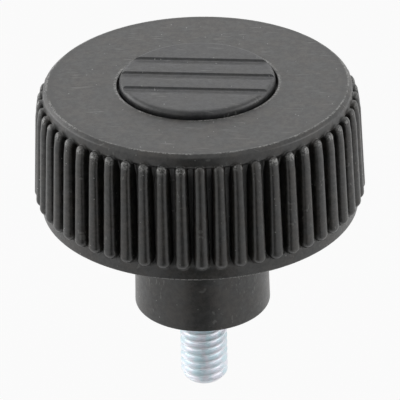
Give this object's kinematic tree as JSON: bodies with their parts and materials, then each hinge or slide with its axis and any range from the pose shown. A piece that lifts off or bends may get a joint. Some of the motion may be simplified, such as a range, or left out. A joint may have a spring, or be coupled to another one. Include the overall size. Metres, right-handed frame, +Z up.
{
  "type": "knurled knob",
  "caption": "Round knurled grip knob with a hub, a grooved cap in its top face and a threaded steel stud to screw it on.",
  "frame": {"origin": "centre of the hub's seating face, where the stud leaves it", "axes": "+Z up the knob's axis through the head, the stud along -Z, and the first rib on the +X side"},
  "size_m": [0.04, 0.04, 0.0422],
  "materials": {
    "body_plastic": "fine-textured black thermoplastic",
    "cap_plastic": "fine-textured black thermoplastic",
    "stud_steel": "bright zinc-plated steel"
  },
  "bodies": {
    "root": {"knob_body": "body_plastic", "cover_cap": "cap_plastic", "threaded_stud": "stud_steel"}
  },
  "joints": []
}
